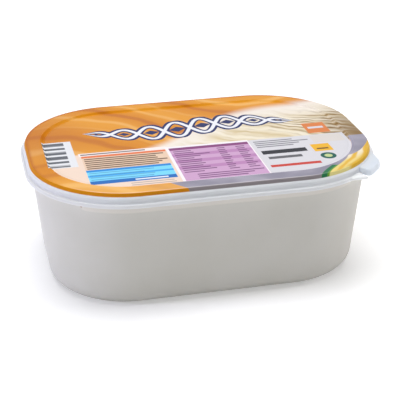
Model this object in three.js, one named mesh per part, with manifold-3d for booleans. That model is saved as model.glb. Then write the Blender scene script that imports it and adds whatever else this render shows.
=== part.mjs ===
// Ice cream tub: a shallow tub with broad rounded corners, shut by a push-on lid.
// Millimetres, +Z up. The origin is the middle of the base, +X runs along the length and -Y is the front.
import * as THREE from "three";
import { mergeVertices } from "three/addons/utils/BufferGeometryUtils.js";
import Module from "manifold-3d";

// Plan of the flange, the widest line. Every other outline lies at an even offset inside it.
const LENGTH = 190;
const WIDTH = 131;
const CORNER_RADIUS = 53;
const CORNER_STEPS = 16;

// Tub: a drafted wall on a rounded base, and a flange with the rim standing on it.
const BASE_INSET = 10.2;
const WALL_TOP_INSET = 4.3;
const BASE_ROUND = 8;
const FLANGE_BOTTOM = 60.75;
const FLANGE_EDGE = 1.9;
const FLANGE_ROUND = 0.4;
const FLANGE_RISE = 0.45;
const FLANGE_RISE_INSET = 1.6;
const RIM_INSET = 2.8;
const RIM_TOP = 64.3;
const TUB_TOP_INSET = 4.2;
const TUB_TOP = 65.65;

// Stacking shoulders: a low raised band under the flange on each long side.
const SHOULDER_BOTTOM = 56.6;
const SHOULDER_INSET = 3.8;
const SHOULDER_ROOT = 4;
const SHOULDER_TURN = 37;
const SHOULDER_BEVEL = 0.4;

// Lid: skirt, rounded ledge, raised plateau and shallow sunk panel.
const FIT_GAP = 0.3;
const SKIRT_INSET = 1.4;
const SKIRT_THICKNESS = 1;
const LEDGE_SIDE = 64.9;
const LEDGE_TOP = 66;
const PLATEAU_BASE_INSET = 2.3;
const PLATEAU_BASE = 66.2;
const PLATEAU_INSET = 3;
const PLATEAU_ROUND = 0.8;
const OVERALL_HEIGHT = 68;
const BAND_WIDTH = 8.4;
const PANEL_SLOPE = 1.1;
const PANEL_DEPTH = 0.9;
const UNDERSIDE_INSET = 3.9;
const UNDERSIDE = 66;
const UNDERSIDE_TURN = 64.6;

// Corner grip: the front right corner is drawn out into a pull tab on the lid, beside a lug on the tub.
// Each ends at a direction from the corner's centre, in degrees from +X.
const TAB_SIDE = 89.3;
const TAB_REACH = 5;
const TAB_ROUND = 9;
const TAB_END = -50;
const TAB_ROOT_INSET = 1.9;
const TAB_TOP = 65.6;
const TAB_LIP_GAP = 1;
const TAB_LIP_BOTTOM = 61.9;
const TAB_BEVEL = 0.35;
const LUG_FRONT = -58.8;
const LUG_END = -51.8;
const LUG_ROUND = 1.5;
const LUG_ROOT_INSET = 2.4;
const LUG_BOTTOM = 61.2;
const LUG_BEVEL = 0.2;

const QUARTER = Math.PI / 2;
const cornerX = LENGTH / 2 - CORNER_RADIUS;
const cornerY = WIDTH / 2 - CORNER_RADIUS;
const flangeEdgeTop = FLANGE_BOTTOM + FLANGE_EDGE;
const flangeTop = flangeEdgeTop + FLANGE_RISE;
const skirtBottom = flangeTop + FIT_GAP;
const tabEnd = THREE.MathUtils.degToRad(TAB_END);
const lugEnd = THREE.MathUtils.degToRad(LUG_END);

const wasm = await Module();
wasm.setup();

// Rounded rectangle at an even offset from the flange edge, counter-clockwise seen from above.
function outline(offset) {
  const radius = CORNER_RADIUS + offset;
  const shape = new THREE.Shape();
  shape.absarc(cornerX, -cornerY, radius, -QUARTER, 0);
  shape.absarc(cornerX, cornerY, radius, 0, QUARTER);
  shape.absarc(-cornerX, cornerY, radius, QUARTER, 2 * QUARTER);
  shape.absarc(-cornerX, -cornerY, radius, 2 * QUARTER, 3 * QUARTER);
  return shape.getPoints(CORNER_STEPS / 2);
}

// A closed skin with one outline for each point of a profile, whose x is the offset and y the height.
// The profile starts on the underside, runs round the outside and ends on the top. Both ends are filled.
function ringSkin(profile) {
  const rings = profile.map((point) => outline(point.x));
  const count = rings[0].length;
  const lastRing = (rings.length - 1) * count;
  const positions = rings.flatMap((ring, level) => ring.flatMap((p) => [p.x, p.y, profile[level].y]));
  const faces = [];
  for (let start = 0; start < lastRing; start += count) {
    for (let i = 0; i < count; i += 1) {
      const a = start + i;
      const b = start + ((i + 1) % count);
      faces.push(a, b, b + count, a, b + count, a + count);
    }
  }
  for (const [a, b, c] of THREE.ShapeUtils.triangulateShape(rings[0], [])) {
    faces.push(a, c, b, lastRing + a, lastRing + b, lastRing + c);
  }
  const geometry = new THREE.BufferGeometry();
  geometry.setAttribute("position", new THREE.Float32BufferAttribute(positions, 3));
  geometry.setIndex(faces);
  return geometry;
}

// A plate with a plan and softened edges, from one height up to another.
function plate(plan, bottom, top, bevel) {
  const geometry = new THREE.ExtrudeGeometry(plan, {
    depth: top - bottom - 2 * bevel,
    bevelSize: bevel,
    bevelThickness: bevel,
    bevelOffset: -bevel,
    bevelSegments: 2,
    curveSegments: CORNER_STEPS / 2,
  });
  return geometry.translate(0, 0, bottom + bevel);
}

// A closed geometry, with its corners shared between faces, as a solid that others can be joined to.
function toSolid(geometry) {
  const bare = geometry.clone();
  bare.deleteAttribute("normal");
  bare.deleteAttribute("uv");
  const merged = mergeVertices(bare);
  const mesh = new wasm.Mesh({
    numProp: 3,
    vertProperties: new Float32Array(merged.getAttribute("position").array),
    triVerts: new Uint32Array(merged.index.array),
  });
  return new wasm.Manifold(mesh);
}

// The skin of a joined solid.
function toGeometry(solid) {
  const { vertProperties, triVerts } = solid.getMesh();
  const geometry = new THREE.BufferGeometry();
  geometry.setAttribute("position", new THREE.BufferAttribute(vertProperties, 3));
  geometry.setIndex(new THREE.BufferAttribute(triVerts, 1));
  geometry.computeVertexNormals();
  return geometry;
}

// One geometry out of a main skin and the plates that grow from it.
function fuse(skin, plates) {
  return toGeometry(plates.reduce((solid, extra) => solid.add(toSolid(extra)), toSolid(skin)));
}

// A point at a distance from the centre of the grip's corner, in a direction given in radians from +X.
function atCorner(distance, angle) {
  return new THREE.Vector2(cornerX + distance * Math.cos(angle), -cornerY + distance * Math.sin(angle));
}

// The tub's profile: flat base, rounded foot, drafted wall, flange, rim and the shut top under the lid.
function tubProfile() {
  const draft = Math.atan2(BASE_INSET - WALL_TOP_INSET, FLANGE_BOTTOM);
  const footInset = BASE_INSET + (BASE_ROUND * (1 - Math.sin(draft))) / Math.cos(draft);
  const profile = new THREE.Path();
  profile.absarc(-footInset, BASE_ROUND, BASE_ROUND, -QUARTER, -draft);
  profile.lineTo(-WALL_TOP_INSET, FLANGE_BOTTOM);
  profile.lineTo(-FLANGE_ROUND, FLANGE_BOTTOM);
  profile.lineTo(0, FLANGE_BOTTOM + FLANGE_ROUND);
  profile.lineTo(0, flangeEdgeTop - FLANGE_ROUND);
  profile.lineTo(-FLANGE_ROUND, flangeEdgeTop);
  profile.lineTo(-FLANGE_RISE_INSET, flangeTop);
  profile.lineTo(-RIM_INSET, flangeTop);
  profile.lineTo(-RIM_INSET, RIM_TOP);
  profile.lineTo(-TUB_TOP_INSET, TUB_TOP);
  return profile.getPoints(CORNER_STEPS / 4);
}

// The lid's profile: underside, inside and outside of the skirt, ledge, plateau wall, band and sunk panel.
function lidProfile() {
  const innerInset = SKIRT_INSET + SKIRT_THICKNESS;
  const plateauSide = OVERALL_HEIGHT - PLATEAU_ROUND;
  const bandEnd = PLATEAU_INSET + BAND_WIDTH;
  const profile = new THREE.Path();
  profile.moveTo(-UNDERSIDE_INSET, UNDERSIDE);
  profile.lineTo(-innerInset, UNDERSIDE_TURN);
  profile.lineTo(-innerInset, skirtBottom);
  profile.lineTo(-SKIRT_INSET, skirtBottom);
  profile.lineTo(-SKIRT_INSET, LEDGE_SIDE);
  profile.quadraticCurveTo(-SKIRT_INSET, LEDGE_TOP, -PLATEAU_BASE_INSET, PLATEAU_BASE);
  profile.lineTo(-PLATEAU_INSET, plateauSide);
  profile.quadraticCurveTo(-PLATEAU_INSET, OVERALL_HEIGHT, -PLATEAU_INSET - PLATEAU_ROUND, OVERALL_HEIGHT);
  profile.lineTo(-bandEnd, OVERALL_HEIGHT);
  profile.lineTo(-bandEnd - PANEL_SLOPE, OVERALL_HEIGHT - PANEL_DEPTH);
  return profile.getPoints(CORNER_STEPS / 4);
}

// Plan of the front shoulder: a strip along the straight side and part of the way round its corners.
function shoulderPlan() {
  const outer = CORNER_RADIUS - SHOULDER_INSET;
  const inner = outer - SHOULDER_ROOT;
  const turn = THREE.MathUtils.degToRad(SHOULDER_TURN);
  const plan = new THREE.Shape();
  plan.absarc(-cornerX, -cornerY, outer, -QUARTER - turn, -QUARTER);
  plan.absarc(cornerX, -cornerY, outer, -QUARTER, -QUARTER + turn);
  plan.absarc(cornerX, -cornerY, inner, -QUARTER + turn, -QUARTER, true);
  plan.absarc(-cornerX, -cornerY, inner, -QUARTER, -QUARTER - turn, true);
  return plan;
}

// Plan of the lid's pull tab from a root arc out: an arc round the corner's centre, with one straight side.
function tabPlan(root) {
  const reach = CORNER_RADIUS + TAB_REACH;
  const side = TAB_SIDE - cornerX;
  const turn = -Math.acos((side - TAB_ROUND) / (reach - TAB_ROUND));
  const tip = atCorner(reach - TAB_ROUND, turn);
  const plan = new THREE.Shape();
  plan.absarc(cornerX, -cornerY, root, -Math.acos(side / root), tabEnd, true);
  plan.absarc(cornerX, -cornerY, reach, tabEnd, turn);
  plan.absarc(tip.x, tip.y, TAB_ROUND, turn, 0);
  return plan;
}

// Plan of the tub's lug, which runs straight on from the flange's front edge.
function lugPlan() {
  const root = CORNER_RADIUS - LUG_ROOT_INSET;
  const front = LUG_FRONT + cornerY;
  const reach = front / Math.sin(lugEnd);
  const tip = atCorner(reach, lugEnd);
  const beforeTip = atCorner(reach - LUG_ROUND, lugEnd);
  const plan = new THREE.Shape();
  plan.absarc(cornerX, -cornerY, root, lugEnd, Math.asin(front / root), true);
  plan.lineTo(tip.x - LUG_ROUND, tip.y);
  plan.quadraticCurveTo(tip.x, tip.y, beforeTip.x, beforeTip.y);
  return plan;
}

function makeTub() {
  const shoulderTop = FLANGE_BOTTOM + SHOULDER_BEVEL;
  const frontShoulder = plate(shoulderPlan(), SHOULDER_BOTTOM, shoulderTop, SHOULDER_BEVEL);
  const backShoulder = frontShoulder.clone().rotateZ(Math.PI);
  const lug = plate(lugPlan(), LUG_BOTTOM, flangeEdgeTop, LUG_BEVEL);
  const material = new THREE.MeshStandardMaterial({ color: 0xdddbd8, roughness: 0.42, metalness: 0 });
  const tub = new THREE.Mesh(fuse(ringSkin(tubProfile()), [frontShoulder, backShoulder, lug]), material);
  tub.name = "tub";
  return tub;
}

function makeLid() {
  const tab = plate(tabPlan(CORNER_RADIUS - TAB_ROOT_INSET), skirtBottom, TAB_TOP, TAB_BEVEL);
  const lipTop = (skirtBottom + TAB_TOP) / 2;
  const lip = plate(tabPlan(CORNER_RADIUS + TAB_LIP_GAP), TAB_LIP_BOTTOM, lipTop, TAB_BEVEL);
  const material = new THREE.MeshStandardMaterial({ color: 0xecb878, roughness: 0.3, metalness: 0 });
  const lid = new THREE.Mesh(fuse(ringSkin(lidProfile()), [tab, lip]), material);
  lid.name = "lid";
  return lid;
}

const iceCreamTub = new THREE.Group();
iceCreamTub.add(makeTub(), makeLid());

export default iceCreamTub;
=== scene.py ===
import math

import bpy
import numpy as np
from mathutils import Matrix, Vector


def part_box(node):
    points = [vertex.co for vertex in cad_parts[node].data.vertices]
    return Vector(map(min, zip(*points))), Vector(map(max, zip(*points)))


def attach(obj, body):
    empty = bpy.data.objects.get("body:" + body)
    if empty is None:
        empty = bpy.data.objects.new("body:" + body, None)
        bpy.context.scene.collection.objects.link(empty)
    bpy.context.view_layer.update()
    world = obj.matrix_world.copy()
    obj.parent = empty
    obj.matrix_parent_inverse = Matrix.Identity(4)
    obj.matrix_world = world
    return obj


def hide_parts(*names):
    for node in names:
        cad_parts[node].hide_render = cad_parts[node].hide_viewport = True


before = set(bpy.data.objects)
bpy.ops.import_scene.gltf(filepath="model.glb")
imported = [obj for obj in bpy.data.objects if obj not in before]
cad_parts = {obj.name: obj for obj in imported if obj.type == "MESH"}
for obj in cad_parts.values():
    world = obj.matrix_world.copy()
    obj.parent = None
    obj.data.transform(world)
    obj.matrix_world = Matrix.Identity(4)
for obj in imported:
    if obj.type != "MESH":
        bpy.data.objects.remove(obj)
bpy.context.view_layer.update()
mm = 0.001  # shapes and print are worked out in millimetres, meshes are in metres
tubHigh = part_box("tub")[1]
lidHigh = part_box("lid")[1]
print("frame loaded:", sorted(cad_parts))


# outline of the flange, the widest line: every other outline lies at an even inset

outline = {
    "halfLength": tubHigh.x / mm,
    "halfWidth": tubHigh.y / mm,
    "cornerRadius": 53.0,
    "cornerColumns": 120,
    "sideColumns": 30,
}
coreX = outline["halfLength"] - outline["cornerRadius"]
coreY = outline["halfWidth"] - outline["cornerRadius"]


# camera

cameraSettings = {
    "azimuth": -13.37,  # degrees round from the front
    "elevation": 24.62,
    "distance": 616.8 * mm,
    "target": (0, 0, 36 * mm),
    "lens": 98.98,
    "sensor": 36,
    "shift": (0.009, -0.0201),
}


def placeCamera(settings):
    # the camera stands on a sphere round the target, and its view axis runs through the target
    turn = math.radians(settings["azimuth"])
    rise = math.radians(settings["elevation"])
    back = Vector((math.sin(turn) * math.cos(rise), -math.cos(turn) * math.cos(rise), math.sin(rise)))
    data = bpy.data.cameras.new("photoCamera")
    data.lens = settings["lens"]
    data.sensor_width = settings["sensor"]
    data.shift_x, data.shift_y = settings["shift"]
    camera = bpy.data.objects.new("photoCamera", data)
    camera.location = Vector(settings["target"]) + settings["distance"] * back
    camera.rotation_euler = back.to_track_quat("Z", "Y").to_euler()
    bpy.context.collection.objects.link(camera)
    bpy.context.scene.camera = camera


placeCamera(cameraSettings)
print("camera placed")


# shader sockets

class Wire:
    # one output socket of a shader tree: arithmetic on it adds Math nodes to the same tree
    def __init__(self, socket):
        self.socket = socket

    def node(self, kind, settings=None, sockets=None, out=0):
        tree = self.socket.id_data
        made = tree.nodes.new(kind)
        for name, value in (settings or {}).items():
            setattr(made, name, value)
        for name, value in (sockets or {}).items():
            if isinstance(value, Wire):
                tree.links.new(value.socket, made.inputs[name])
            else:
                made.inputs[name].default_value = value
        return Wire(made.outputs[out])

    def math(self, operation, *values):
        return self.node("ShaderNodeMath", {"operation": operation}, dict(enumerate(values)))

    def __add__(self, value):
        return self.math("ADD", self, value)

    def __sub__(self, value):
        return self.math("SUBTRACT", self, value)

    def __rsub__(self, value):
        return self.math("SUBTRACT", value, self)

    def __mul__(self, value):
        return self.math("MULTIPLY", self, value)

    def __truediv__(self, value):
        return self.math("DIVIDE", self, value)

    def __rtruediv__(self, value):
        return self.math("DIVIDE", value, self)

    def __abs__(self):
        return self.math("ABSOLUTE", self)

    __radd__ = __add__
    __rmul__ = __mul__

    def sin(self):
        return self.math("SINE", self)

    def wave(self):  # a sine that runs between 0 and 1
        return self.sin() * 0.5 + 0.5

    def floor(self):
        return self.math("FLOOR", self)

    def power(self, value):
        return self.math("POWER", self, value)

    def least(self, value):
        return self.math("MINIMUM", self, value)

    def most(self, value):
        return self.math("MAXIMUM", self, value)

    def fade(self, low, high):  # 0 at low, 1 at high, smooth between, level beyond
        return self.node("ShaderNodeMapRange", {"interpolation_type": "SMOOTHSTEP"},
                         {"Value": self, "From Min": low, "From Max": high})

    def above(self, edge, soft):  # 1 above the edge, softened this far to both sides
        return self.fade(edge - soft, edge + soft)

    def below(self, edge, soft):
        return self.fade(edge + soft, edge - soft)

    def span(self, low, high):  # low where this value is 0, high where it is 1
        return self * (high - low) + low

    def under(self, colour, mask):  # this colour with another laid over it where the mask is 1
        return self.node("ShaderNodeMix", {"data_type": "RGBA"}, {0: mask, 6: self, 7: colour}, 2)

    def between(self, first, second):  # one colour where this value is 0, the other where it is 1
        return self.node("ShaderNodeMix", {"data_type": "RGBA"}, {0: self, 6: first, 7: second}, 2)

    def parts(self):  # the three coordinates of a vector
        split = self.node("ShaderNodeSeparateXYZ", None, {0: self})
        return [Wire(socket) for socket in split.socket.node.outputs]

    def scaled(self, factors):  # a vector stretched along its three axes
        return self.node("ShaderNodeVectorMath", {"operation": "MULTIPLY"}, {0: self, 1: factors})

    def distance(self, point):
        return self.node("ShaderNodeVectorMath", {"operation": "DISTANCE"}, {0: self, 1: point}, "Value")

    def noise(self, scale, detail=2.0):  # this vector's smooth noise, about 0.5 in the middle
        return self.node("ShaderNodeTexNoise", None, {"Vector": self, "Scale": scale, "Detail": detail})


noiseMiddle = (0.35, 0.65)  # most of a noise's values lie between these


def ink(red, green, blue):
    # screen colour from 0 to 255 as linear light
    screen = np.array([red, green, blue]) / 255
    linear = np.where(screen <= 0.04045, screen / 12.92, ((screen + 0.055) / 1.055) ** 2.4)
    return (*linear.tolist(), 1.0)


def newMaterial(name):
    # gives the material, its shader node and the surface point in millimetres
    material = bpy.data.materials.new(name)
    material.use_nodes = True
    tree = material.node_tree
    shader = tree.nodes["Principled BSDF"]
    place = Wire(tree.nodes.new("ShaderNodeTexCoord").outputs["Object"])
    return material, shader, place.scaled((1 / mm, 1 / mm, 1 / mm))


def setShader(shader, **values):
    for name, value in values.items():
        socket = shader.inputs[name.replace("_", " ")]
        if isinstance(value, Wire):
            shader.id_data.links.new(value.socket, socket)
        else:
            socket.default_value = value


def bump(height, strength, depth):
    return height.node("ShaderNodeBump", None,
                       {"Height": height, "Strength": strength, "Distance": depth * mm})


def inMetres(lengths):
    return tuple(length * mm for length in lengths)


# moulded plastic of the tub; pairs are an edge with half its softness, or the two ends of a fade

tubFinish = {
    "wallLight": ink(209, 207, 201),
    "wallDark": ink(206, 204, 197),
    "cloudScale": 0.03,  # noise cells to a millimetre
    "band": ink(216, 212, 205),  # painted highlight: the shoulder is painted paler, as light caught on its bulge
    "bandFrom": (56.6, 0.3),
    "bandSide": (51.4, 0.5),  # it ends here, out from the long axis
    "flange": ink(227, 229, 232),  # bare plastic, with nothing behind it
    "flangeFrom": (60.0, 0.4),
    "flangeEndShade": ink(219, 219, 219),  # painted shade: greyer towards the left end
    "flangeShadeFade": (-50.0, -85.0),
    # painted light: the flange and lug at the grip's corner are painted near white, brighter than the
    # rest of the flange
    "lug": ink(250, 252, 254),
    "lugSide": (66.0, 4.0),
    "lugFront": (-52.0, 1.5),
    # painted shade: the wall darkens towards its bottom, where the rounded base turns down from the light
    "foot": ink(60, 58, 52),
    "footShadeTop": 9.0,
    "footShadeDepth": 0.6,
    "shoulderEndShadow": ink(150, 84, 26),  # painted shadow: a small brown dark spot at the left end of the front shoulder, in the gap under the flange
    "shoulderEndShadowAt": (-71.4, -51.7, 58.4),
    "shoulderEndShadowFade": (0.95, 0.285),
    "roughness": 0.48,
    "gloss": 0.15,
    "translucency": 0.25,
    "scatter": (6.0, 5.5, 5.0),  # how far red, green and blue light spread in the plastic
    "grainScale": 2.2,
    "grainRoughness": 0.06,
    "streaks": (0.5, 0.5, 0.012),  # fine across, long up the wall
    "streakRoughness": 0.12,
    "streakShare": 0.6,  # of the relief, the rest is grain
    "relief": (0.12, 0.2),  # strength and depth
}


def tubPlastic(s):
    material, shader, place = newMaterial("tubPlastic")
    x, y, height = place.parts()
    cloud = place.noise(s["cloudScale"], detail=3.0)
    streak = place.scaled(s["streaks"]).noise(1.0, detail=3.0)
    grain = place.noise(s["grainScale"])
    milk = cloud.fade(*noiseMiddle).between(s["wallDark"], s["wallLight"])
    # painted highlight: the shoulder is painted paler than the wall, as if catching light on its bulge
    milk = milk.under(s["band"], height.above(*s["bandFrom"]) * abs(y).above(*s["bandSide"]))
    onFlange = height.above(*s["flangeFrom"])
    # painted shade: the flange greys towards the left end
    milk = milk.under(x.fade(*s["flangeShadeFade"]).between(s["flange"], s["flangeEndShade"]), onFlange)
    # painted light on the flange and lug at the grip's corner
    milk = milk.under(s["lug"], onFlange * x.above(*s["lugSide"]) * y.below(*s["lugFront"]))
    # painted shade: darker towards the bottom edge of the wall
    low = (1 - height / s["footShadeTop"]).most(0.0)
    milk = milk.under(s["foot"], low * low * s["footShadeDepth"])
    # painted shadow in the gap at the shoulder's left end
    milk = milk.under(s["shoulderEndShadow"], place.distance(s["shoulderEndShadowAt"]).fade(*s["shoulderEndShadowFade"]))
    uneven = s["streakRoughness"] * (streak - 0.5) + s["grainRoughness"] * (grain - 0.5)
    relief = s["streakShare"] * streak + (1 - s["streakShare"]) * grain
    setShader(shader, Base_Color=milk, Specular_IOR_Level=s["gloss"],
              Roughness=s["roughness"] + uneven,
              Subsurface_Weight=s["translucency"],
              Subsurface_Radius=inMetres(s["scatter"]), Subsurface_Scale=1.0,
              Normal=bump(relief, *s["relief"]))
    return material


# print on the lid: every field is worked out from x and y on the lid, in millimetres

printArt = {
    "labelFoot": (66.3, 0.1),  # the print ends at the foot of the raised plateau
    "wall": (3.25, 0.15),  # the plateau's wall begins here, in from the flange's edge
    "panel": (12.2, 0.2),  # and the sunk panel here
    "slope": (1.6, 1.0),  # half the width of its slope
    "edge": 0.14,  # half the softness of a printed edge
    "barEdge": 0.08,  # the same for a ruled bar, as a share of its row
    "barEnd": 0.1,
    "gloss": 0.24,
    "shine": 0.3,
    "matt": 0.4,  # added roughness on the plateau's wall and the panel's slope
    "edgeHighlightInk": ink(255, 248, 240),  # painted highlight: a pale line along the plateau's rounded front edge
    "edgeHighlight": 0.4,
    "edgeHighlightInset": 3.7,
    "edgeHighlightWidth": (0.45, 0.15),
    "edgeHighlightFront": (-46.0, -58.0),
    "edgeHighlightRight": (60.0, 40.0),
}


def insetField(x, y):
    # distance in from the flange's edge: the corner radius less the distance from the core rectangle
    overX, overY = abs(x) - coreX, abs(y) - coreY
    outX, outY = overX.most(0.0), overY.most(0.0)
    away = (outX * outX + outY * outY).power(0.5)
    return outline["cornerRadius"] - away - overX.most(overY).least(0.0)


def wallMask(inset):
    return inset.below(*printArt["wall"])


def panelMask(inset):
    return inset.above(*printArt["panel"])


def boxMask(x, y, box, edge=printArt["edge"]):
    # inside distance of an upright rectangle, cut at zero
    left, right, low, high = box
    outX = abs(x - (left + right) / 2) - (right - left) / 2
    outY = abs(y - (low + high) / 2) - (high - low) / 2
    return outX.most(outY).below(0, edge)


def ruledRows(x, y, box, pitch, seed, fill, ragged):
    # plain bars: the row number comes from y, each row's length from noise on its number
    left, right, low, high = box
    row = (high - y) / pitch
    number = row.floor()
    bar = abs(row - number - 0.5).below(fill / 2, printArt["barEdge"])
    chance = number.node("ShaderNodeTexWhiteNoise", {"noise_dimensions": "1D"}, {"W": number + seed})
    ends = (right - x - chance * ((right - left) * ragged)).above(0, printArt["barEnd"])
    return bar * ends * boxMask(x, y, box)


satin = {
    "deep": ink(218, 136, 10),
    "bright": ink(231, 156, 40),
    "shade": ink(186, 100, 22),
    "sheen": ink(248, 196, 116),
    "wall": ink(208, 132, 0),  # print, painted deeper and darker as shade down the plateau's wall
    "across": (0.34, 0.78),  # the folds follow each other in this direction
    "sway": 16.0,
    "swayRate": 0.034,
    "swayStart": 0.6,
    "drift": 26.0,
    "driftScale": 0.018,
    "broadRate": 0.17,
    "fineRate": 0.47,
    "fineStart": 1.3,
    "troughs": (0.3, 1.0),
    "crests": (0.4, 1.0),
    "foldDepth": 0.6,
    # painted shade towards the back of the left end and along the plateau's outer edge except at the
    # front, and painted sheen along the front
    "leftShade": 0.4,
    "leftFade": (-50.0, -85.0),
    "leftFront": (-30.0, 10.0),
    "edgeShade": 0.75,
    "edgeFade": (5.6, 3.2),
    "edgeFront": (-45.0, -15.0),
    "frontSheen": 0.45,
    "frontFade": (-30.0, -60.0),
}


def satinGround(x, y, inset, place, s):
    # satin folds: two sines across lines that bend with x and drift with noise
    acrossX, acrossY = s["across"]
    sway = s["sway"] * (x * s["swayRate"] + s["swayStart"]).sin()
    fold = y * acrossY + x * acrossX + sway + s["drift"] * place.noise(s["driftScale"])
    broad = (fold * s["broadRate"]).wave()
    fine = (fold * s["fineRate"] + s["fineStart"]).wave()
    colour = broad.between(s["deep"], s["bright"])
    colour = colour.under(s["shade"], (fine * (1 - broad)).fade(*s["troughs"]) * s["foldDepth"])
    colour = colour.under(s["sheen"], (fine * broad).fade(*s["crests"]) * s["foldDepth"])
    # painted shade towards the back left and along the outer edge, then painted sheen along the front
    colour = colour.under(s["shade"], y.fade(*s["leftFront"]) * x.fade(*s["leftFade"]) * s["leftShade"])
    edge = inset.fade(*s["edgeFade"]) * y.fade(*s["edgeFront"])
    colour = colour.under(s["shade"], edge * s["edgeShade"])
    colour = colour.under(s["sheen"], y.fade(*s["frontFade"]) * s["frontSheen"])
    # painted shade: the print is deeper and darker down the plateau's wall
    return colour.under(s["wall"], wallMask(inset))


cream = {
    "start": 12.0,  # the field lies below a swaying line that rises to the right
    "rise": 0.46,
    "sway": 8.0,
    "swayRate": 0.05,
    "front": (-20.0, -16.0),
    "left": (-56.0, -40.0),
    "mist": ink(246, 238, 228),  # thin over the field's edge
    "mistFade": (-8.0, 3.0),
    "mistDepth": 0.95,
    "fieldFade": (1.0, 8.0),
    "calmFade": (6.0, 24.0),  # the field is calm and misty near its edge
    "calmMist": 0.7,
    "light": ink(243, 233, 208),
    "dark": ink(222, 204, 164),
    "across": (0.5, 0.86),  # the ripples follow each other in this direction
    "bend": 26.0,
    "bendScale": 0.03,
    "softPitch": 12.42,
    "softStart": 0.8,
    "tan": ink(124, 90, 36),  # the far right lies in shade
    "tanRight": (66.0, 90.0),
    "tanFront": (50.0, -15.0),
    "tanDepth": 0.9,
    "ripple": ink(132, 98, 50),
    "ripplePitch": 4.6,
    "hollows": (0.5, 1.0),
    "ridges": (0.35, 0.0),
    "patchScale": 0.07,
    "patchSpan": (0.2, 1.0),  # strength of the hollows between the patches and on them
    "rightFade": (20.0, 78.0),
    "rightSpan": (0.2, 0.95),  # to the left and to the right
    "calmSpan": (0.3, 1.0),  # near the field's edge and deep in it
    "ridgeSpan": (0.7, 0.4),  # of the ridges, to the left and to the right
}


def creamField(colour, x, y, place, s):
    # ripples are a sine across slanting lines that noise bends, patchy, and stronger to the right
    inside = s["start"] + s["rise"] * x + s["sway"] * (x * s["swayRate"]).sin() - y
    behind = y.fade(*s["front"]) * x.fade(*s["left"])
    colour = colour.under(s["mist"], inside.fade(*s["mistFade"]) * behind * s["mistDepth"])
    acrossX, acrossY = s["across"]
    fold = x * acrossX + y * acrossY + s["bend"] * place.noise(s["bendScale"], detail=3.0)
    ripple = (fold * (2 * math.pi / s["ripplePitch"])).wave()
    soft = (fold * (2 * math.pi / s["softPitch"]) + s["softStart"]).wave()
    patchy = place.noise(s["patchScale"]).fade(*noiseMiddle)
    rightward = x.fade(*s["rightFade"])
    deep = inside.fade(*s["calmFade"])
    body = soft.between(s["dark"], s["light"])
    body = body.under(s["tan"], x.fade(*s["tanRight"]) * y.fade(*s["tanFront"]) * s["tanDepth"])
    strength = patchy.span(*s["patchSpan"]) * rightward.span(*s["rightSpan"]) * deep.span(*s["calmSpan"])
    body = body.under(s["ripple"], ripple.fade(*s["hollows"]) * strength)
    body = body.under(s["mist"], ripple.fade(*s["ridges"]) * patchy * rightward.span(*s["ridgeSpan"]))
    body = body.under(s["mist"], (1 - deep) * s["calmMist"])
    return colour.under(body, inside.fade(*s["fieldFade"]) * behind)


edging = {
    "peach": ink(244, 220, 202),
    "peachBox": (-90.0, -10.0, -70.0, -6.0),
    "peachEdge": 1.2,
    "lilac": ink(168, 164, 179),
    "lilacShade": ink(144, 141, 157),
    # the lilac, painted darker as shade on the plateau's wall
    "lilacWallShade": ink(140, 133, 136),
    "lilacScale": 0.05,
    "lilacFrom": (-23.0, 0.2),  # where it begins at its foot, on a slanting line
    "lilacFoot": -58.0,
    "lilacSlant": 0.9,
    "lilacTop": (-14.0, 0.2),
}


def edgingFields(colour, x, y, inset, place, s):
    # pale peach fills the front left of the sunk panel, lilac runs along the front right band
    panel = panelMask(inset)
    colour = colour.under(s["peach"], panel * boxMask(x, y, s["peachBox"], s["peachEdge"]))
    front = (x + (y - s["lilacFoot"]) * s["lilacSlant"]).above(*s["lilacFrom"])
    lilac = place.noise(s["lilacScale"]).fade(*noiseMiddle).between(s["lilacShade"], s["lilac"])
    # painted shade on the plateau's wall
    lilac = lilac.under(s["lilacWallShade"], wallMask(inset))
    return colour.under(lilac, front * (1 - panel) * y.below(*s["lilacTop"]))


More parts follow.
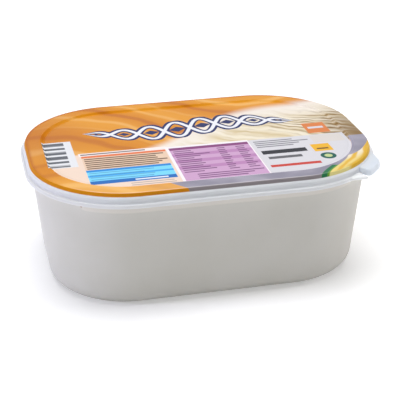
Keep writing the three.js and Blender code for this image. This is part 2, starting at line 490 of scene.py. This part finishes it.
panels = {
    # boxes are left, right, low, high; a fill has an ink, a box and its strength, and rules have an ink,
    # a box, their pitch, seed, thickness and raggedness as shares, and their strength
    "white": {
        "ink": ink(220, 219, 224),
        "box": (27.2, 82, -60, -6.5),
        "fills": [
            (ink(222, 214, 206), (62, 80, -18, -7.5), 0.8),
            (ink(34, 36, 48), (30, 55, -28, -23), 1.0),
            (ink(34, 36, 48), (31.5, 50, -34.8, -31.6), 0.85),
            (ink(240, 182, 34), (58.5, 69, -30, -20), 1.0),
            (ink(120, 84, 20), (60.5, 67, -27.4, -25.6), 1.0),
            (ink(204, 62, 52), (29.5, 57, -45.4, -42.4), 1.0),
        ],
        "rules": [(ink(70, 72, 84), (29.5, 60, -19, -8.5), 2.6, 3.0, 0.45, 0.35, 0.8)],
    },
    "tag": {
        "ink": ink(222, 128, 64),
        "box": (63.5, 76.5, -4, 11),
        "fills": [(ink(220, 219, 224), (65.5, 74.5, 2.6, 5.4), 1.0)],
        "rules": [],
    },
    "heading": {
        "ink": ink(250, 240, 236),
        "box": (-66, -18.5, -8.5, -4.5),
        "fills": [],
        "rules": [(ink(74, 52, 62), (-65, -30, -7.6, -5.4), 2.2, 11.0, 0.7, 0.0, 0.85)],
    },
    "peach": {
        "ink": ink(236, 206, 180),
        "box": (-65, -19.5, -27.5, -8.5),
        "fills": [(ink(232, 118, 70), (-65, -19.5, -11, -8.5), 1.0)],
        "rules": [(ink(112, 84, 62), (-64, -20.5, -27, -11.6), 2.55, 1.0, 0.52, 0.14, 1.0)],
    },
    "blue": {
        "ink": ink(122, 218, 255),
        "box": (-65, -20.5, -46, -27.5),
        "fills": [
            (ink(30, 140, 220), (-65, -20.5, -30.1, -27.5), 1.0),
            (ink(62, 168, 236), (-65, -20.5, -36.6, -34.6), 1.0),
            (ink(24, 108, 190), (-65, -20.5, -46, -41.8), 1.0),
            (ink(236, 244, 252), (-42, -25, -44.6, -43.2), 1.0),
        ],
        "rules": [
            (ink(34, 84, 150), (-64, -22, -41.6, -30.4), 2.8, 5.0, 0.36, 0.35, 0.5),
            (ink(150, 142, 146), (-45, -19.5, -52, -47), 2.4, 8.0, 0.4, 0.2, 0.7),
        ],
    },
    "violetFrame": {
        "ink": ink(250, 244, 250),
        "box": (-19.1, 27.2, -53, -5.8),
        "fills": [],
        "rules": [],
    },
    "violet": {
        "ink": ink(208, 164, 204),
        "box": (-17.5, 26.5, -52, -8),
        "fills": [
            (ink(136, 66, 124), (-17.5, 26.5, -11.4, -8), 1.0),
            (ink(190, 136, 186), (-17.5, 26.5, -20.5, -16.5), 1.0),
            (ink(190, 136, 186), (-17.5, 26.5, -29, -25), 1.0),
            (ink(190, 136, 186), (-17.5, 26.5, -37.5, -33.5), 1.0),
        ],
        "rules": [
            (ink(96, 48, 100), (-16, 3, -42.5, -12), 2.55, 2.0, 0.42, 0.55, 0.85),
            (ink(96, 48, 100), (8, 13.5, -42.5, -12), 2.55, 7.0, 0.42, 0.35, 0.85),
            (ink(96, 48, 100), (18.5, 24.5, -42.5, -12), 2.55, 9.0, 0.42, 0.35, 0.85),
            (ink(96, 48, 100), (-10, 25.5, -51.6, -43.8), 2.4, 4.0, 0.45, 0.3, 0.85),
        ],
    },
}


def infoPanels(colour, x, y, inset, s):
    # plain panels of colour that end at the sunk panel's edge, with fills and ruled bars on them
    clip = panelMask(inset)
    for panel in s.values():
        colour = colour.under(panel["ink"], boxMask(x, y, panel["box"]) * clip)
        for fillInk, box, strength in panel["fills"]:
            colour = colour.under(fillInk, boxMask(x, y, box) * strength)
        for ruleInk, box, *rule, strength in panel["rules"]:
            colour = colour.under(ruleInk, ruledRows(x, y, box, *rule) * strength)
    return colour


roundMark = {
    "centre": (63.5, -36.7),
    "ring": ink(16, 92, 82),
    "ringEdge": (4.25, 0.15),
    "middle": ink(196, 214, 150),
    "middleEdge": (2.15, 0.15),
}


def ringField(colour, x, y, s):
    # two discs, each a distance from the centre cut at its radius
    centreX, centreY = s["centre"]
    across, up = x - centreX, y - centreY
    away = (across * across + up * up).power(0.5)
    colour = colour.under(s["ring"], away.below(*s["ringEdge"]))
    return colour.under(s["middle"], away.below(*s["middleEdge"]))


stripes = {
    "box": (-83.5, -67.8, -21.5, 14.5),
    "paper": ink(232, 234, 238),
    "bar": ink(98, 102, 110),
    "blank": 4.0,  # at the right
    "margin": 1.0,
    "pitch": 6.2,
    "finePitch": 3.7,
    "fineStart": 0.7,
    "fineShare": 0.6,
    "cut": (-0.5, 0.2),
}


def stripedPatch(colour, x, y, s):
    # uneven stripes: the sum of two sines of y, cut near zero
    left, right, low, high = s["box"]
    rise = (y - low) * (2 * math.pi)
    bars = (rise / s["pitch"]).sin() + s["fineShare"] * (rise / s["finePitch"] + s["fineStart"]).sin()
    inner = (left, right - s["blank"], low + s["margin"], high - s["margin"])
    colour = colour.under(s["paper"], boxMask(x, y, s["box"]))
    return colour.under(s["bar"], bars.fade(*s["cut"]) * boxMask(x, y, inner))


waves = {
    "across": (0.82, -0.57),  # the waves lie across this direction
    "sway": 1.6,
    "swayRate": 0.19,
    "swayStart": 0.4,
    "green": ink(104, 160, 60),
    "greenDark": ink(34, 116, 74),
    "greenFrom": (78.5, 0.15),
    "greenTop": (-33.0, 0.15),
    "greenSlant": 0.3,
    "leafRate": 1.4,
    "leafFade": (-0.3, 0.5),
    "amberFrom": (81.8, 0.2),
    "archFrom": 70.0,  # the amber wave's upper edge is level up to here, then a parabola
    "archRise": 0.042,
    "archFoot": -41.0,
    "archEdge": 0.2,
    "amberPale": ink(240, 216, 130),
    "amberMid": ink(232, 184, 66),
    "streakRate": 1.25,
    "streakBend": 5.0,
    "streakScale": 0.07,
    "streakFade": (0.15, 1.0),
    "amberCream": ink(244, 232, 206),  # just below the arch
    "creamFade": (7.0, 0.5),
    "creamStreaks": (0.9, 0.3),
    "amberDeep": ink(220, 174, 48),  # towards the outside
    "deepFade": (5.6, 3.6),
    "deepRight": (64.0, 71.0),
    "deepShare": 0.85,
    "amberWall": ink(226, 214, 140),
    "wallRight": (71.0, 67.0),
}


def cornerWaves(colour, x, y, inset, place, s):
    # a green wave, and beside it an amber wave with pale streaks, which lies below an arch over the
    # grip's corner and deepens to the outside
    acrossX, acrossY = s["across"]
    reach = x * acrossX + y * acrossY + s["sway"] * (y * s["swayRate"] + s["swayStart"]).sin()
    leaf = (reach * s["leafRate"]).sin().fade(*s["leafFade"]).between(s["greenDark"], s["green"])
    green = reach.above(*s["greenFrom"]) * (y + x * s["greenSlant"]).below(*s["greenTop"])
    colour = colour.under(leaf, green)
    over = (x - s["archFrom"]).most(0.0)
    under = over * over * s["archRise"] + s["archFoot"] - y
    streak = (reach * s["streakRate"] + s["streakBend"] * place.noise(s["streakScale"])).wave()
    amber = streak.fade(*s["streakFade"]).between(s["amberPale"], s["amberMid"])
    amber = amber.under(s["amberCream"], under.fade(*s["creamFade"]) * streak.fade(*s["creamStreaks"]))
    deep = inset.fade(*s["deepFade"]) * x.fade(*s["deepRight"])
    amber = amber.under(s["amberDeep"], deep * s["deepShare"])
    amber = amber.under(s["amberWall"], wallMask(inset) * x.fade(*s["wallRight"]))
    return colour.under(amber, reach.above(*s["amberFrom"]) * under.above(0, s["archEdge"]))


braid = {
    "left": -60.0,
    "right": 62.0,
    "low": 24.0,
    "lift": -7.0,
    "bow": 5.0,
    "turns": 4.0,
    "swell": 10.5,
    "half": 1.15,  # half width of a strand
    "outline": 1.6,
    "taper": 11.0,
    "thinnest": 0.01,  # share of the width that the taper leaves
    "ends": 0.004,  # share of the length over which the ends fade
    "edge": 0.1,
    "bead": 0.36,  # share of the swell
    "beadSlope": 0.7,
    "beadEdge": 0.12,
    "navy": ink(14, 34, 98),
    "white": ink(240, 242, 248),
}


def braidField(colour, x, y, s):
    # two opposed sines round a bowed line, swelling in the middle, with a bead in each eye; the distance
    # to a strand is its height difference over the root of one plus the slope squared, and grows to the
    # ends, so that they are drawn out to points
    length = s["right"] - s["left"]
    along = (x - s["left"]) / length
    middle = y - s["low"] - s["lift"] * along + s["bow"] * (along * 2 * math.pi).sin()
    hump = along * (1 - along)
    swell = hump * (4 * s["swell"])
    phase = along * (2 * math.pi * s["turns"])
    wave = swell * phase.sin()
    slope = swell * (phase + math.pi / 2).sin() * (2 * math.pi * s["turns"] / length)
    near = abs(middle - wave).least(abs(middle + wave)) / (slope * slope + 1).power(0.5)
    near = near / (hump * s["taper"]).least(1.0).most(s["thinnest"])
    within = along.fade(0.0, s["ends"]) * along.fade(1.0, 1 - s["ends"])
    eye = (phase / math.pi).floor() + 0.5
    beside = (along - eye / (2 * s["turns"])) * length
    bead = swell * s["bead"] - abs(beside) * s["beadSlope"] - abs(middle)
    colour = colour.under(s["navy"], near.below(s["half"] + s["outline"], s["edge"]) * within)
    colour = colour.under(s["white"], near.below(s["half"], s["edge"]) * within)
    return colour.under(s["navy"], bead.above(0, s["beadEdge"]) * within)


# lid: bare rim with a printed top

rimFinish = {
    "light": ink(232, 235, 239),
    "dark": ink(225, 228, 232),
    "end": ink(222, 223, 225),  # painted shade: greyer towards the left end
    "endShadeFade": (-50.0, -85.0),
    "tabLight": ink(225, 233, 245),  # thin and cooler
    "tabDark": ink(219, 227, 239),
    "translucency": 0.5,
    "scatter": (4.0, 4.0, 4.4),
    "roughness": 0.34,
    "cloudScale": 0.04,
    "cloudRoughness": 0.08,
    "cloudShare": 0.8,  # of the lid's relief, the rest is grain
    "grainScale": 2.5,
    "grainRoughness": 0.1,
    "relief": (0.08, 0.3),
    "tabRelief": (0.08, 0.15),
}


def printedLid(rim, art):
    material, shader, place = newMaterial("printedLid")
    x, y, z = place.parts()
    inset = insetField(x, y)

    colour = satinGround(x, y, inset, place, satin)
    colour = creamField(colour, x, y, place, cream)
    colour = edgingFields(colour, x, y, inset, place, edging)
    colour = infoPanels(colour, x, y, inset, panels)
    colour = ringField(colour, x, y, roundMark)
    colour = stripedPatch(colour, x, y, stripes)
    colour = cornerWaves(colour, x, y, inset, place, waves)
    colour = braidField(colour, x, y, braid)
    # painted highlight: a pale line along the plateau's rounded front edge
    edgeHighlightMask = abs(inset - art["edgeHighlightInset"]).fade(*art["edgeHighlightWidth"])
    edgeHighlightMask = edgeHighlightMask * y.fade(*art["edgeHighlightFront"]) * x.fade(*art["edgeHighlightRight"])
    colour = colour.under(art["edgeHighlightInk"], edgeHighlightMask * art["edgeHighlight"])

    grain = place.noise(rim["grainScale"])
    cloud = place.noise(rim["cloudScale"])
    white = cloud.fade(*noiseMiddle).between(rim["dark"], rim["light"])
    # painted shade: the rim greys towards the left end
    white = white.under(rim["end"], x.fade(*rim["endShadeFade"]))
    printed = z.above(*art["labelFoot"])
    slope = abs(inset - art["panel"][0]).fade(*art["slope"])
    gloss = art["gloss"] + wallMask(inset).most(slope) * art["matt"] - rim["roughness"]
    relief = rim["cloudShare"] * cloud + (1 - rim["cloudShare"]) * grain
    setShader(shader, Base_Color=white.under(colour, printed), Specular_IOR_Level=art["shine"],
              Roughness=rim["roughness"] + printed * gloss + rim["cloudRoughness"] * (cloud - 0.5),
              Normal=bump(relief, *rim["relief"]))
    return material


def rimPlastic(rim):
    material, shader, place = newMaterial("rimPlastic")
    grain = place.noise(rim["grainScale"])
    white = place.noise(rim["cloudScale"]).fade(*noiseMiddle).between(rim["tabDark"], rim["tabLight"])
    setShader(shader, Base_Color=white,
              Roughness=rim["roughness"] + rim["grainRoughness"] * (grain - 0.5),
              Subsurface_Weight=rim["translucency"],
              Subsurface_Radius=inMetres(rim["scatter"]), Subsurface_Scale=1.0,
              Normal=bump(grain, *rim["tabRelief"]))
    return material


tubMaterial = tubPlastic(tubFinish)
lidMaterial = printedLid(rimFinish, printArt)
rimMaterial = rimPlastic(rimFinish)
print("materials made")


# surfaces

sharpEdge = 32  # degrees between two faces


def outlinePath(settings):
    # a rounded rectangle as core points with outward directions: at a corner the direction turns a
    # quarter while the core point rests, along a side the core point slides
    centres = np.array([(coreX, -coreY), (coreX, coreY), (-coreX, coreY), (-coreX, -coreY)])
    cores, turns = [], []
    for corner, start in enumerate(centres):
        turn = np.linspace(corner - 1, corner, settings["cornerColumns"] + 1) * math.pi / 2
        along = np.linspace(0, 1, settings["sideColumns"] + 1)[1:-1, None]
        side = centres[(corner + 1) % 4] - start
        cores += [np.repeat(start[None], len(turn), 0), start + side * along]
        turns += [turn, np.full(len(along), turn[-1])]
    turn = np.concatenate(turns)
    return np.vstack(cores), np.column_stack([np.cos(turn), np.sin(turn)])


def unit(vector):
    return vector / np.linalg.norm(vector)


def filleted(corners, steps, lead=0.12):
    # a line of straight pieces whose corners become arcs: the arc's centre is on the corner's bisector,
    # and its spoke turns evenly from one tangent point to the other
    points = [np.array([corners[0][:2]])]
    for before, corner, after in zip(corners[:-2], corners[1:-1], corners[2:]):
        here, radius = np.array(corner[:2]), corner[2]
        back, ahead = unit(np.array(before[:2]) - here), unit(np.array(after[:2]) - here)
        half = math.acos(np.clip(back @ ahead, -1, 1)) / 2
        reach = radius / math.tan(half)
        centre = here + unit(back + ahead) * radius / math.sin(half)
        swing = math.pi - 2 * half
        part = np.linspace(0, 1, steps + 1)[:, None]
        spokes = np.sin((1 - part) * swing) * (here + back * reach - centre)
        spokes += np.sin(part * swing) * (here + ahead * reach - centre)
        points += [[here + back * (reach + lead)], centre + spokes / math.sin(swing)]
        points += [[here + ahead * (reach + lead)]]
    return np.vstack(points + [[corners[-1][:2]]])


def closedSurface(name, x, y, z, material, node, slot):
    # rows and columns of points joined by quads, the columns closed into rings, both end rings capped
    rows, columns = x.shape
    points = np.stack([x, y, np.broadcast_to(z, x.shape)], axis=-1).reshape(-1, 3) * mm
    index = np.arange(rows * columns).reshape(rows, columns)
    beside = np.roll(index, -1, axis=1)
    quads = np.stack([index[:-1], beside[:-1], beside[1:], index[1:]], axis=-1).reshape(-1, 4)
    caps = [index[0, ::-1].tolist(), index[-1].tolist()]
    mesh = bpy.data.meshes.new(name)
    mesh.from_pydata(points.tolist(), [], quads.tolist() + caps)
    mesh.polygons.foreach_set("use_smooth", np.ones(len(mesh.polygons), dtype=bool))
    mesh.set_sharp_from_angle(angle=math.radians(sharpEdge))
    mesh.materials.append(material)
    piece = bpy.data.objects.new(name, mesh)
    bpy.context.collection.objects.link(piece)
    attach(piece, "root")
    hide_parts(node)
    print(name, "made,", len(mesh.polygons), "faces")


path = outlinePath(outline)


def sweep(profile, rise=0.0):
    # a point is its core point plus the outward direction times corner radius and profile offset
    core, out = path
    reach = outline["cornerRadius"] + profile[:, :1] + rise
    return core[:, 0] + out[:, 0] * reach, core[:, 1] + out[:, 1] * reach, profile[:, 1:]


def smoothStep(value, low, high):
    part = np.clip((value - low) / (high - low), 0, 1)
    return part * part * (3 - 2 * part)


# tub

tub = {
    "capInset": 48.0,
    "baseInset": 10.2,
    "baseRound": 8.0,
    "wallTopInset": 4.3,
    "flangeBottom": 60.75,
    "flangeEdge": 62.65,
    "flangeRound": 0.5,
    "flangeTop": 63.1,
    "flangeRiseInset": 1.6,
    "rimInset": 2.8,
    "rimTop": 64.3,
    "rimRound": 0.4,
    "topInset": 4.2,
    "top": tubHigh.z / mm,
    "smallRound": 0.3,
    "rimFootRound": 0.2,
    "arcSteps": 8,
    "shoulderInset": 3.8,
    "shoulderBottom": 56.6,
    "shoulderTurn": 37.0,  # degrees round the corners from the long sides
    "shoulderRound": 3.0,
    "shoulderSoft": 0.25,
    "shoulderFull": 0.97,  # a little draft is left in the shoulder
    "wallRows": 12,
    "stepRows": 15,  # close together over the shoulder's lower edge
    "stepReach": 0.9,
    "headRows": 6,
    "rowGap": 0.3,
    "footGap": 1.0,
}


def tubProfile(s):
    # base, wall, flange, rim and top as one filleted line, with added rows up the wall
    corners = [
        (-s["capInset"], 0),
        (-s["baseInset"], 0, s["baseRound"]),
        (-s["wallTopInset"], s["flangeBottom"], s["smallRound"]),
        (0, s["flangeBottom"], s["smallRound"]),
        (0, s["flangeEdge"], s["flangeRound"]),
        (-s["flangeRiseInset"], s["flangeTop"], s["smallRound"]),
        (-s["rimInset"], s["flangeTop"], s["rimFootRound"]),
        (-s["rimInset"], s["rimTop"], s["rimRound"]),
        (-s["topInset"], s["top"], s["rimRound"]),
        (-s["capInset"], s["top"]),
    ]
    profile = filleted(corners, s["arcSteps"])
    foot = profile[profile[:, 1] < s["flangeBottom"] / 2]
    head = profile[profile[:, 1] > s["flangeBottom"] / 2]
    stepLow = s["shoulderBottom"] - s["stepReach"]
    stepHigh = s["shoulderBottom"] + s["stepReach"]
    heights = np.concatenate([
        np.linspace(foot[-1, 1] + s["footGap"], stepLow - s["rowGap"], s["wallRows"]),
        np.linspace(stepLow, stepHigh, s["stepRows"]),
        np.linspace(stepHigh + s["rowGap"], head[0, 1] - s["rowGap"], s["headRows"]),
    ])
    offsets = np.interp(heights, [foot[-1, 1], head[0, 1]], [foot[-1, 0], head[0, 0]])
    return np.vstack([foot, np.column_stack([offsets, heights]), head])


def shoulderRise(profile, s):
    # the wall steps out to one inset inside a rounded window of run and height; run is the distance
    # along the wall from the middle of the long side
    core, out = path
    wallRadius = outline["cornerRadius"] - s["shoulderInset"]
    run = np.abs(core[:, 0]) + wallRadius * np.arcsin(np.abs(out[:, 0]))
    halfRun = coreX + wallRadius * math.radians(s["shoulderTurn"])
    roundness = s["shoulderRound"]
    beyond = np.maximum(run - halfRun + roundness, 0)[None, :]
    below = np.maximum(s["shoulderBottom"] + roundness - profile[:, 1:], 0)
    window = smoothStep(np.hypot(beyond, below) - roundness, s["shoulderSoft"], -s["shoulderSoft"])
    return s["shoulderFull"] * window * np.maximum(-s["shoulderInset"] - profile[:, :1], 0)


tubRows = tubProfile(tub)
closedSurface("tubShell", *sweep(tubRows, shoulderRise(tubRows, tub)), tubMaterial, "tub", "tub_plastic")


# lid

lid = {
    "capInset": 46.0,
    "undersideInset": 3.9,
    "underside": 66.0,
    "undersideTurn": 64.6,
    "undersideRound": 0.3,
    "skirtBottom": tub["flangeTop"] - 0.12,  # pressed down on the flange
    "skirtInset": 1.4,
    "skirtThickness": 1.0,
    "skirtRound": 0.2,
    "curlInset": 0.7,  # the skirt's foot curls out on the flange
    "curlDrop": 0.14,
    "curlTip": 0.06,
    "curlRound": 0.6,
    "ledgeTop": 65.2,
    "ledgeRound": 1.6,
    "plateauFootInset": 2.3,
    "plateauFoot": 66.2,
    "plateauFootRound": 0.12,
    "plateauInset": 3.0,
    "plateauRound": 0.55,
    "top": lidHigh.z / mm,
    "bandWidth": 8.4,
    "panelSlope": 1.1,
    "panelDepth": 0.9,
    "panelRound": 0.5,
    "arcSteps": 8,
}


def lidProfile(s):
    # underside, skirt, ledge, plateau and sunk panel as one filleted line
    skirtInner = s["skirtInset"] + s["skirtThickness"]
    bandInset = s["plateauInset"] + s["bandWidth"]
    corners = [
        (-s["capInset"], s["underside"]),
        (-s["undersideInset"], s["underside"], s["undersideRound"]),
        (-skirtInner, s["undersideTurn"], s["undersideRound"]),
        (-skirtInner, s["skirtBottom"], s["skirtRound"]),
        (-s["curlInset"], s["skirtBottom"] - s["curlDrop"], s["curlTip"]),
        (-s["skirtInset"], s["skirtBottom"] + s["curlDrop"], s["curlRound"]),
        (-s["skirtInset"], s["ledgeTop"], s["ledgeRound"]),
        (-s["plateauFootInset"], s["plateauFoot"], s["plateauFootRound"]),
        (-s["plateauInset"], s["top"], s["plateauRound"]),
        (-bandInset, s["top"], s["panelRound"]),
        (-bandInset - s["panelSlope"], s["top"] - s["panelDepth"], s["panelRound"]),
        (-s["capInset"], s["top"] - s["panelDepth"]),
    ]
    return filleted(corners, s["arcSteps"])


closedSurface("lidShell", *sweep(lidProfile(lid)), lidMaterial, "lid", "printed_lid")


# corner grip: pull tab on the lid, small lug on the tub below it

grip = {
    "tabSide": 89.3,
    "tabReach": 5.0,  # beyond the flange's corner
    "tabRound": 9.0,
    "tabEnd": -50.0,  # degrees, seen from the corner's centre
    "tabLead": 3.0,  # degrees left for the round at that end
    "tabBack": -20.0,
    "tabRootInset": 7.0,
    "tabTop": 65.6,
    "tabEndRound": 1.5,
    "tabEdge": 0.8,
    "tabFlare": 0.6,  # the tab's foot stands out beyond its top
    "lipGap": 1.0,  # between the flange and the lip that hangs in front of it
    "lipBottom": 61.9,
    "lipTop": lid["skirtBottom"] + 0.3,  # a little above the skirt's foot
    "lipShelf": 0.05,  # rise of the shelf from the lip to the lid
    "lugFront": -58.8,
    "lugEnd": -51.8,
    "lugBack": -64.0,
    "lugRound": 0.6,
    "lugRootInset": 4.0,
    "lugBottom": 61.2,
    "lugEdge": 0.4,
    "arcPoints": 24,
    "tipPoints": 17,
    "sidePoints": 13,
    "rootPoints": 30,
    "roundSteps": 12,
    "edgePoints": 7,
    "capShare": 1.6,  # inset of the caps' rings, for each millimetre of edge
}


def atCorner(radius, degrees):
    turn = np.radians(degrees)
    return np.column_stack([coreX + radius * np.cos(turn), -coreY + radius * np.sin(turn)])


def insetRows(loops, inset):
    # each row's loop drawn in along its own outward direction, across the chord of its neighbours
    ahead = np.roll(loops, -1, axis=1) - np.roll(loops, 1, axis=1)
    ahead /= np.linalg.norm(ahead, axis=2)[:, :, None]
    x = loops[:, :, 0] - inset[:, None] * ahead[:, :, 1]
    y = loops[:, :, 1] + inset[:, None] * ahead[:, :, 0]
    return x, y


def edgeRows(s, edge, bottom, middle, top):
    # heights and insets of a plate's rows: a quarter circle at the lower and the upper edge
    turn = np.linspace(0, math.pi / 2, s["edgePoints"])
    cap = [edge * s["capShare"]]
    height = np.concatenate([[bottom], bottom + edge * (1 - np.cos(turn)), middle,
                             top - edge * (1 - np.sin(turn)), [top]])
    inset = np.concatenate([cap, edge * (1 - np.sin(turn)), np.zeros(len(middle)),
                            edge * (1 - np.cos(turn)), cap])
    return height, inset


def tabLoop(s, root):
    # arc round the corner's centre, tip arc, straight side, back along the root arc, out at the end
    reach = outline["cornerRadius"] + s["tabReach"]
    side = s["tabSide"] - coreX
    turn = -math.degrees(math.acos((side - s["tabRound"]) / (reach - s["tabRound"])))
    outer = atCorner(reach, np.linspace(s["tabEnd"] + s["tabLead"], turn, s["arcPoints"]))
    tipTurn = np.radians(np.linspace(turn, 0, s["tipPoints"])[1:, None])
    tip = atCorner(reach - s["tabRound"], [turn])
    tip = tip + s["tabRound"] * np.hstack([np.cos(tipTurn), np.sin(tipTurn)])
    hidden = side * math.tan(math.radians(-s["tabBack"]))
    back = -max(hidden, math.sqrt(max(root ** 2 - side ** 2, 0)))
    straight = np.linspace(tip[-1], (s["tabSide"], back - coreY), s["sidePoints"])[1:]
    start = math.degrees(math.atan2(back, side))
    inner = atCorner(root, np.linspace(start, s["tabEnd"], s["arcPoints"])[1:])
    end = atCorner(reach, [s["tabEnd"]])[0]
    turned = filleted([(*inner[-1], 0), (*end, s["tabEndRound"]), (*outer[0], 0)], s["roundSteps"])
    return np.vstack([outer, tip, straight, inner, turned[1:-1]])


def pullTab(s):
    # below the step the loop is a lip in front of the flange, above it the loop reaches into the lid
    step = [s["lipTop"], s["lipTop"] + s["lipShelf"]]
    height, inset = edgeRows(s, s["tabEdge"], s["lipBottom"], step, s["tabTop"])
    inset = inset - s["tabFlare"] * (s["tabTop"] - height) / (s["tabTop"] - s["lipBottom"])
    lip = tabLoop(s, outline["cornerRadius"] + s["lipGap"])
    whole = tabLoop(s, outline["cornerRadius"] - s["tabRootInset"])
    half = len(height) // 2
    loops = np.stack([lip] * half + [whole] * half)
    closedSurface("pullTab", *insetRows(loops, inset), height[:, None], rimMaterial, "lid", "printed_lid")


def tubLug(s):
    # the flange's front edge runs straight on to a rounded tip, then back along a ray from the centre
    rootTurn = np.linspace(s["lugEnd"], s["lugBack"], s["rootPoints"])
    root = atCorner(outline["cornerRadius"] - s["lugRootInset"], rootTurn)
    rays = np.array([s["lugBack"], s["lugEnd"]])
    ends = atCorner((s["lugFront"] + coreY) / np.sin(np.radians(rays)), rays)
    outer = filleted([(*ends[0], 0), (*ends[1], s["lugRound"]), (*root[0], 0)], s["roundSteps"])
    height, inset = edgeRows(s, s["lugEdge"], s["lugBottom"], [], tub["flangeEdge"])
    loops = np.repeat(np.vstack([outer, root[1:]])[None], len(height), 0)
    closedSurface("tubLug", *insetRows(loops, inset), height[:, None], tubMaterial, "tub", "tub_plastic")


pullTab(grip)
tubLug(grip)


# floor and light

studio = {
    "floorHalf": 6.0,
    "floor": ink(240, 240, 240),
    "floorRoughness": 0.9,
    "floorGloss": 0.1,
    "nearGlow": (0.33, 0.33, 0.33, 1),
    "farGlow": (0.9, 0.9, 0.9, 1),
    "farFade": (600.0, 1400.0),  # the paper grows whiter over this distance
    "sky": 0.075,
    "lamps": {
        # place, width, depth, power, colour
        "lampTop": ((0.0, 0.05, 1.35), 1.2, 0.9, 18.2, (1, 1, 1)),
        "lampBack": ((0.0, 1.7, 0.8), 1.8, 0.8, 2.2, (1, 1, 1)),
        "fillFront": ((0.0, -1.6, 0.5), 0.8, 0.8, 1.0, (1, 1, 1)),
        "fillLeft": ((-1.6, 0.07, 0.45), 0.3, 0.3, 10.4, (0.72, 0.73, 1)),
        "fillRight": ((1.6, 0.2, 0.4), 0.3, 0.3, 5.5, (1, 0.92, 0.92)),
    },
    "highlights": "lampBack",  # the others only light, and give no glare
}


def addFloor(settings):
    half = settings["floorHalf"]
    corners = [(-half, -half, 0), (half, -half, 0), (half, half, 0), (-half, half, 0)]
    mesh = bpy.data.meshes.new("floor")
    mesh.from_pydata(corners, [], [(0, 1, 2, 3)])
    material, shader, place = newMaterial("floorPaper")
    glow = place.distance((0, 0, 0)).fade(*settings["farFade"])
    setShader(shader, Base_Color=settings["floor"], Roughness=settings["floorRoughness"],
              Specular_IOR_Level=settings["floorGloss"], Emission_Strength=1.0,
              Emission_Color=glow.between(settings["nearGlow"], settings["farGlow"]))
    mesh.materials.append(material)
    floor = bpy.data.objects.new("floor", mesh)
    bpy.context.collection.objects.link(floor)


def addSky(settings):
    world = bpy.data.worlds.new("studioSky")
    world.use_nodes = True
    world.node_tree.nodes["Background"].inputs["Color"].default_value = (1, 1, 1, 1)
    world.node_tree.nodes["Background"].inputs["Strength"].default_value = settings["sky"]
    bpy.context.scene.world = world


def addLamps(settings):
    for name, (place, width, depth, power, colour) in settings["lamps"].items():
        data = bpy.data.lights.new(name, "AREA")
        data.shape = "RECTANGLE"
        data.size, data.size_y = width, depth
        data.energy = power
        data.color = colour
        lamp = bpy.data.objects.new(name, data)
        lamp.location = place
        lamp.visible_glossy = name == settings["highlights"]
        lamp.rotation_euler = Vector(place).to_track_quat("Z", "Y").to_euler()
        bpy.context.collection.objects.link(lamp)


addFloor(studio)
addSky(studio)
addLamps(studio)
bpy.context.scene.view_settings.view_transform = "Standard"
print("studio lit")
